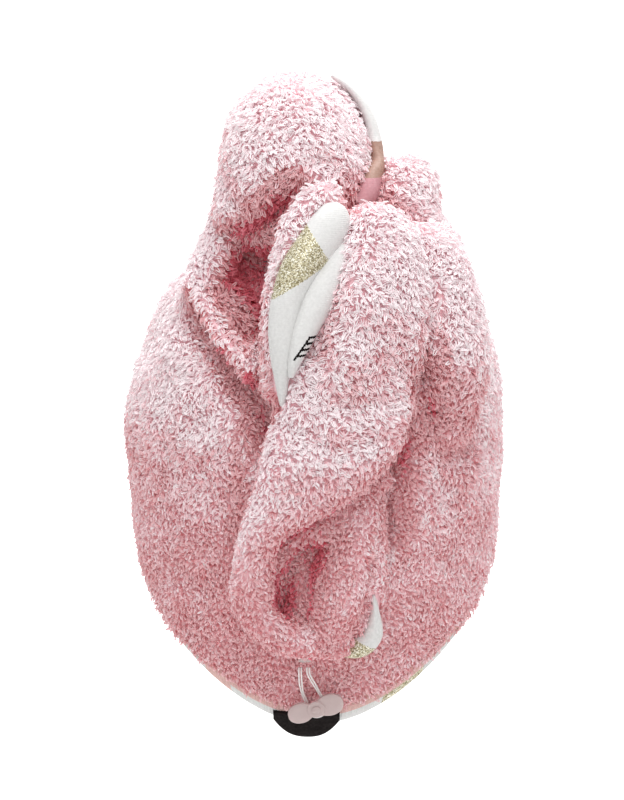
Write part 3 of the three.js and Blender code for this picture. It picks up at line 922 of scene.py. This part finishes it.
def make_terry():
    cap, roll, flap = make_cap(), make_roll(), make_flap()
    cloths = search_tree([cap, roll, flap])
    for cloth, body, seed, flat, held, edges in (
        (cap, "cap", CAP_SEED, CAP_FLAT, "stretched", []),
        (roll, "roll", ROLL_SEED, ROLL_FLAT, "folded", [ROLL_BAND]),
        (flap, "flap", FLAP_SEED, FLAP_FLAT, "folded", [FRONT_LIP, REAR_LIP, TIP_BAND]),
    ):
        pile = grow_pile(cloth.name.replace("cloth", "pile"), cloth, body, seed + 1, cloths, edges)


# ---------------------------------------------------------------- jersey edges of the tail
def solid_tube(name, stations, sides, squareness=1.0):
    """A tube object with closed ends, its sides shaded smooth."""
    points, quads = tube(stations, sides, squareness)
    piece = mesh_object(name, points * MM, quads)
    work = bmesh.new()
    work.from_mesh(piece.data)
    close_up(work, piece.data)
    return piece


def paint(piece, colours, choose):
    """Gives each face the jersey that choose names for its centre in mm."""
    for colour in colours:
        piece.data.materials.append(JERSEY[colour])
    for face in piece.data.polygons:
        face.material_index = colours.index(choose(face.center / MM))


PAD_STEPS, PAD_SIDES = 20, 80  # fine enough for the printed blocks' edges


def jersey_edge(name, body, node, places, choose):
    """A padded jersey edge that follows places, coloured in printed blocks."""
    pad = solid_tube(name, route(places, BACKWARD, PAD_STEPS), PAD_SIDES)
    paint(pad, list(JERSEY), choose)
    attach(pad, body)
    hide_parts(node)
    return pad


FRONT_LIP = [
    (12, -95, 288, 4, 3.5),
    (10.5, -97, 285, 8, 6),
    (7, -101, 278, 10.5, 8),
    (0, -107, 268, 10.8, 8.5),
    (-8.5, -114, 257, 9.8, 8.5),
    (-14.5, -120, 243, 8.4, 8),
    (-17.3, -125, 229, 7.2, 7),
    (-18, -128, 215, 5.6, 6.5),
    (-17.5, -128, 201, 3.6, 5.5),
    (-17, -126, 189, 1.8, 4),
]
REAR_LIP = [
    (18.5, -95, 272, 3, 3.5),
    (17, -98, 269, 6, 6),
    (13, -104, 261, 8.5, 8),
    (7, -111, 251, 9, 8.5),
    (1, -118, 241, 8.5, 8),
    (-4.5, -124, 230, 7, 7),
    (-8.5, -128, 220, 5.5, 6.5),
    (-11.5, -130, 211, 3.6, 5.5),
    (-13, -130, 204, 1.8, 4),
]
ROLL_BAND = [
    (9, -8, 352, 1.6, 4),
    (17, -9, 347, 2.4, 6),
    (24, -11, 339.5, 3, 8),
    (29.5, -14, 328, 3.6, 9),
    (32.5, -19, 315, 4.2, 9),
    (33, -28, 304, 4.5, 9),
    (30, -40, 297, 6, 9),
    (27, -50, 290, 6.5, 8),
    (22, -57, 283, 5, 6),
]
TIP_BAND = [
    (30, -115, 86, 1.2, 4),
    (31, -114, 74, 3, 6),
    (29.5, -112, 63, 6, 6),
    (23, -110, 56, 6.5, 6),
    (13, -108, 53, 4, 5),
]


FRONT_GOLD_TOP, FRONT_GOLD_LOW = (1.56, 272.5), (0.58, 256)  # slope and height of the block's edges
TIP_GOLD_TOP = (0.5, 71)
ROLL_WHITE_Z, ROLL_TAN_Z = 317, 299
COMB_X, COMB_LEVELS = -12, (213, 225)
COMB_SLANT = 0.72  # the comb's spine leans to the right as it rises
COMB_SPINE = 1.3
COMB_PITCH, COMB_GAP = 3, 1.7


def front_lip_print(place):
    (top_slope, top), (low_slope, low) = FRONT_GOLD_TOP, FRONT_GOLD_LOW
    in_gold = place.z + top_slope * place.x < top and place.z - low_slope * place.x > low
    return "gold" if in_gold else "white"


def rear_lip_print(place):
    """White, with a small printed comb of black strokes where it runs in under the terry."""
    low, high = COMB_LEVELS
    reach = place.x - COMB_X - COMB_SLANT * (place.z - low)
    if not low < place.z < high or reach < 0:
        return "white"
    return "black" if reach < COMB_SPINE or place.z % COMB_PITCH > COMB_GAP else "white"


def roll_band_print(place):
    if place.z > ROLL_WHITE_Z:
        return "white"
    return "tan" if place.z > ROLL_TAN_Z else "blush"


def tip_band_print(place):
    slope, top = TIP_GOLD_TOP
    return "gold" if place.z + slope * place.x < top else "white"


def make_tail_edges():
    jersey_edge("tail_front_lip_pad", "flap", "tail_front_lip", FRONT_LIP, front_lip_print)
    jersey_edge("tail_rear_lip_pad", "flap", "tail_rear_lip", REAR_LIP, rear_lip_print)
    jersey_edge("tail_roll_band", "roll", "tail_roll_facing", ROLL_BAND, roll_band_print)
    jersey_edge("tail_tip_band", "flap", "tail_tip_facing", TIP_BAND, tip_band_print)


# ---------------------------------------------------------------- rim and lining
HEM_PROFILE = [  # how far in from the cap's face and how far above the rim
    (3.4, 14), (1.7, 9), (1.1, 5), (1.6, 2), (3, 0.5),
    (5, 0), (7, 0.6), (8.7, 2.5), (9.3, 7), (9.0, 14),
]
HEM_RIBS = 340  # round the whole rim
RIB_SAMPLES = 6
RIB_DEPTH = 0.16
HEM_ROWS = 22
SEAM_LINE = 5.8  # above the rim, where the edge of the seam shows under the terry
HEM_PRINT = [  # angle round the cap where each block begins
    (-0.74, "salmon"), (-0.56, "white"), (0.44, "gold"), (0.72, "white"),
    (0.98, "gold"), (1.1, "white"), (2.2, "gold"), (2.7, "white"),
]


def surface_strip(theta, rise, inset):
    """Points of the cap's surface at a height above the rim, in mm."""
    return cap_point(theta, rim_z(theta) + rise, inset)


def make_hem(side, start, end):
    theta = np.linspace(start, end, HEM_RIBS * RIB_SAMPLES // 2 + 1)
    ribs = RIB_DEPTH * np.cos(theta * HEM_RIBS)
    profile = np.array(HEM_PROFILE, float)
    share = np.linspace(0, len(profile) - 1, HEM_ROWS)
    insets, rises = catmull(profile[:, 0], share), catmull(profile[:, 1], share)
    rows = [surface_strip(theta, rise, inset + ribs) for inset, rise in zip(insets, rises)]
    hem = mesh_object(f"rim_hem_{side}", np.concatenate(rows) * MM, grid_faces(len(rows), len(theta)))
    paint(hem, list(JERSEY), hem_print)
    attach(hem, "cap")
    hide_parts(f"rim_facing_{side}")


def hem_print(place):
    theta = cap_angle(place)
    if place.z > rim_z(theta) + SEAM_LINE:
        return "salmon"
    colour = "white"
    for start, next_colour in HEM_PRINT:
        if theta > start:
            colour = next_colour
    return colour


LINING_ROWS, LINING_COLUMNS = 60, 72
LINING_START, TAPE_START = 10, 12  # heights above the rim
LINING_EASE = 12  # how fast the lining draws away from the hem
LINING_CLOSE, TAPE_CLOSE = 0.9999, 0.9995  # stops just short of the crown's very top
TAPE_POINTS = 50
TAPE_OFFSETS = (-1, -0.5, 0, 0.5, 1)


def make_lining(side, start, end):
    theta = np.linspace(start, end, LINING_COLUMNS)
    rows = []
    for level in np.linspace(0, 1, LINING_ROWS):
        inset = min(LINING_INSET, HEM_INNER_INSET + LINING_EASE * level)
        low = rim_z(theta) + LINING_START
        rise = np.sin(level * math.pi / 2) ** (2 / CROWN_POWER)
        z = low + (CROWN_Z - inset - low) * rise * LINING_CLOSE
        rows.append(cap_point(theta, z, inset))
    faces = grid_faces(len(rows), len(theta))
    lining = mesh_object(f"cap_lining_{side}_cloth", np.concatenate(rows) * MM, faces)
    for crease in CAP_CREASES:
        press(lining, *crease)
    lining.data.flip_normals()
    lining.data.materials.append(LINING_PRINT)
    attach(lining, "cap")
    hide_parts(f"cap_lining_{side}")


def make_seam_tape():
    """A woven tape over the lining's centre seam, from the nape over the crown to the forehead."""
    levels = np.sin(np.linspace(0, 1, TAPE_POINTS) * math.pi / 2) ** (2 / CROWN_POWER) * TAPE_CLOSE
    inset = LINING_INSET + 1
    half_lines = []
    for theta in (0, math.pi):
        low = rim_z(theta) + TAPE_START
        z = low + (CROWN_Z - inset - low) * levels
        half_lines.append(cap_point(np.full(len(z), theta), z, inset))
    line = np.concatenate([half_lines[0], half_lines[1][::-1]])
    across = np.array([TAPE_WIDTH / 2, 0, 0])
    rows = []
    for offset in TAPE_OFFSETS:
        rows.append(line + across * offset + np.array([0, 0, -TAPE_CROWN * (1 - offset**2)]))
    tape = mesh_object("lining_seam_tape", np.concatenate(rows) * MM, grid_faces(len(rows), len(line)))
    tape.data.materials.append(TAPE)
    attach(tape, "cap")
    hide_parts("centre_seam_tape")


def make_rim_and_lining():
    for side, start, end in (("left", -math.pi, 0), ("right", 0, math.pi)):
        make_hem(side, start, end)
        make_lining(side, start, end)
    make_seam_tape()


# ---------------------------------------------------------------- button, tab and elastic
TAB_X, TAB_HALF_WIDTH, TAB_TOP, TAB_BOTTOM = -5, 18, 14, -2.2
TAB_RISE, TAB_POWER = 11, 2.6  # how much and how fast its lower edge rises to its ends
TAB_PROUD, TAB_HALF_THICK = 0.6, 1.7
TAB_UP = np.array([0, -0.42, 1])
TAB_COLUMNS, TAB_SIDES, TAB_SQUARENESS, TAB_FILL = 41, 40, 0.45, 0.8
BUTTON = np.array([0.2, -103.2, 19.2])
BUTTON_TILT = 0.29
PLATE_SIDES, PLATE_STEPS = 36, 8
BOW_THICK, BOW_SQUARENESS = 3.4, 0.4
KNOT_RIM, KNOT_BOSS = (4.8, 4.4), (2.4, 1.9)  # half widths and heights of the knot's two steps
KNOT_RISE = 0.8
LOBES = [  # place along the bow, half height
    (-15.4, 1.4), (-14.4, 3.3), (-12, 4.9), (-9, 5.5), (-6, 5.2), (-3.4, 4.0), (-1.4, 3.4),
    (0.8, 3.9), (4, 5.2), (7.4, 5.9), (11, 5.4), (13.8, 3.6), (15, 1.4),
]


def make_tab():
    """The black crescent at the nape, which carries the button."""
    stations = []
    up = unit(TAB_UP)
    for share in np.sin(np.linspace(-0.5, 0.5, TAB_COLUMNS) * math.pi):
        x = TAB_X + TAB_HALF_WIDTH * share
        bottom = TAB_BOTTOM + TAB_RISE * abs(share) ** TAB_POWER
        middle, half = (TAB_TOP + bottom) / 2, (TAB_TOP - bottom) / 2
        centre = np.array([x, cap_back_y(x, middle) + TAB_PROUD, middle])
        stations.append((centre, up, np.cross(up, [1, 0, 0]), half, TAB_HALF_THICK))
    tab = solid_tube("nape_tab_pad", stations, TAB_SIDES, TAB_SQUARENESS)
    tab.data.materials.append(JERSEY["black"])
    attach(tab, "cap")
    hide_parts("nape_tab")


def plate(name, outline, centre, thickness, squareness):
    """A flat moulded plate with soft edges; outline gives (place along, half height)."""
    outline = np.array(outline, float)
    share = np.linspace(0, len(outline) - 1, PLATE_STEPS * len(outline))
    along, halves = catmull(outline[:, 0], share), catmull(outline[:, 1], share)
    right = np.array([math.cos(BUTTON_TILT), 0, math.sin(BUTTON_TILT)])
    up = np.array([-math.sin(BUTTON_TILT), 0, math.cos(BUTTON_TILT)])
    stations = [(centre + right * a, up, BACKWARD, half, thickness / 2) for a, half in zip(along, halves)]
    return solid_tube(name, stations, PLATE_SIDES, squareness)


def button_piece(piece, *nodes):
    piece.data.materials.append(BUTTON_PLASTIC)
    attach(piece, "button")
    if nodes:
        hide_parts(*nodes)


def round_outline(half_width, half_height, count=9):
    angles = np.linspace(0.08, math.pi - 0.08, count)
    return [(-half_width * math.cos(a), half_height * math.sin(a)) for a in angles]


def recolour(name, material):
    """Gives a CAD node that stays in view a finished material."""
    for slot in bpy.data.objects[name].material_slots:
        slot.material = material


def make_button():
    bow = plate("button_bow_plate", LOBES, BUTTON, BOW_THICK, BOW_SQUARENESS)
    button_piece(bow, "button_bow")
    front = BUTTON + BACKWARD * BOW_THICK / 2
    rim = plate("button_knot_rim", round_outline(*KNOT_RIM), front, 1.4, 0.5)
    button_piece(rim, "button_knot")
    top = front + BACKWARD * KNOT_RISE
    button_piece(plate("button_knot_boss", round_outline(*KNOT_BOSS), top, 1.8, 0.8))
    recolour("button_shank", BUTTON_PLASTIC)
    recolour("button_thread", THREAD)


ELASTIC_RADIUS = 0.45
ELASTIC_TOP = (-6, -107.5, 43.2)
SHANK_BEND, SHANK_DEPTH = 4.1, -98.5  # radius and place of the cord's turn round the shank
CORD_POINTS, CORD_ROUND = 90, 3
SHANK_X, SHANK_Z = 0.5, 18.4
STRAND_GAP = 1.3
TACK_STITCHES = 3
TACK_PITCH = 0.8


def elastic_route(nudge):
    """One cord of the doubled elastic: down from the tail, round the button's shank and back up."""
    x, y, z = ELASTIC_TOP
    bend = SHANK_BEND + nudge
    low_y = SHANK_DEPTH - 0.4 * nudge
    left = [
        (x - 1.6, y, z),
        (x - 1.7, y + 1, z - 4),
        (x - 1.3, -102.9, 32.2),
        (x - 0.6, -100, 27),
        (-4.4 - nudge, -98.9, 21.4),
    ]
    right = [
        (4.2 + nudge, -98.9, 21.4),
        (1.4, -100, 27),
        (-1.2, -102.9, 32.2),
        (x + 1.6, y + 1, z - 4),
        (x + 1.3, y, z),
    ]
    angles = np.linspace(1.06, 1.94, 7) * math.pi
    turn = [(SHANK_X + bend * math.cos(a), low_y, SHANK_Z + bend * math.sin(a)) for a in angles]
    spread = [nudge * share for share in (1, 1, 1, 0.7, 0)]
    left = [(px - s, py, pz) for (px, py, pz), s in zip(left, spread)]
    right = [(px + s, py, pz) for (px, py, pz), s in zip(right, spread[::-1])]
    return left + turn + right


def make_tack():
    """Short stitches that hold the elastic to the inside of the tail's edge."""
    x, y, z = ELASTIC_TOP
    parts = []
    for number in range(TACK_STITCHES):
        level = z + 2.8 + number * TACK_PITCH
        ends = [
            (x - 3.2, y + 2.2, level, 0.3, 0.3),
            (x, y + 0.2, level + 0.3, 0.35, 0.35),
            (x + 3.2, y + 2.2, level, 0.3, 0.3),
        ]
        parts.append(tube(route(ends, BACKWARD), 8))
    points = np.concatenate([part for part, _ in parts])
    quads = np.concatenate([faces + number * len(parts[0][0]) for number, (_, faces) in enumerate(parts)])
    tack = mesh_object("loop_tack_stitches", points * MM, quads)
    tack.data.materials.append(THREAD)
    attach(tack, "flap")
    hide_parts("loop_tack")


def make_elastic():
    for number, nudge in enumerate((0, STRAND_GAP), 1):
        points = np.array(elastic_route(nudge), float)
        share = np.linspace(0, len(points) - 1, CORD_POINTS)
        line = np.stack([catmull(points[:, k], share) for k in range(3)], 1) * MM
        curve = bpy.data.curves.new(f"elastic_cord_{number}", "CURVE")
        curve.dimensions = "3D"
        curve.bevel_depth = ELASTIC_RADIUS * MM
        curve.bevel_resolution = CORD_ROUND
        spline = curve.splines.new("POLY")
        spline.points.add(len(line) - 1)
        spline.points.foreach_set("co", np.concatenate([line, np.ones((len(line), 1))], 1).ravel())
        cord = add_object(f"elastic_cord_{number}", curve)
        cord.data.materials.append(ELASTIC)
        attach(cord, "loop")
    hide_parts("elastic_loop")


# ---------------------------------------------------------------- build
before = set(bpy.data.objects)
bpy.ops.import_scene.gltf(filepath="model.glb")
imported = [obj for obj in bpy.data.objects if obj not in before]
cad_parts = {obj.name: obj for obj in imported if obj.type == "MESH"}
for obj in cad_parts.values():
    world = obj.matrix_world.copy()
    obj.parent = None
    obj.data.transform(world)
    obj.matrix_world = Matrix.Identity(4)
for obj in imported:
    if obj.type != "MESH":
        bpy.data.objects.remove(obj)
CAD_LOW, CAD_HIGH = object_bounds()
make_camera()
SHADED_YARNS = shaded_yarn_materials()
# painted shade: the ground cloth is a darker, redder pink than the yarn's tips, for the shade in the gaps
# between loops
GROUND_IN_SHADE = textured("ground_cloth", (0.90, 0.58, 0.62), (0.93, 0.66, 0.70), 900, 0.95, 0.4)
JERSEY = jersey_prints()
LINING_PRINT = printed_jersey()
TAPE = textured("woven_tape", (0.72, 0.69, 0.67), (0.82, 0.80, 0.78), 1500, 0.85, 0.3, wales=True)
ELASTIC = textured("elastic_cord", (0.80, 0.76, 0.74), (0.90, 0.87, 0.86), 2500, 0.7, 0.3)
THREAD = textured("sewing_thread", (0.75, 0.70, 0.68), (0.86, 0.82, 0.80), 3000, 0.7, 0.3)
BUTTON_PLASTIC = button_plastic()
make_stage()
make_terry()
make_tail_edges()
make_rim_and_lining()
make_tab()
make_button()
make_tack()
make_elastic()
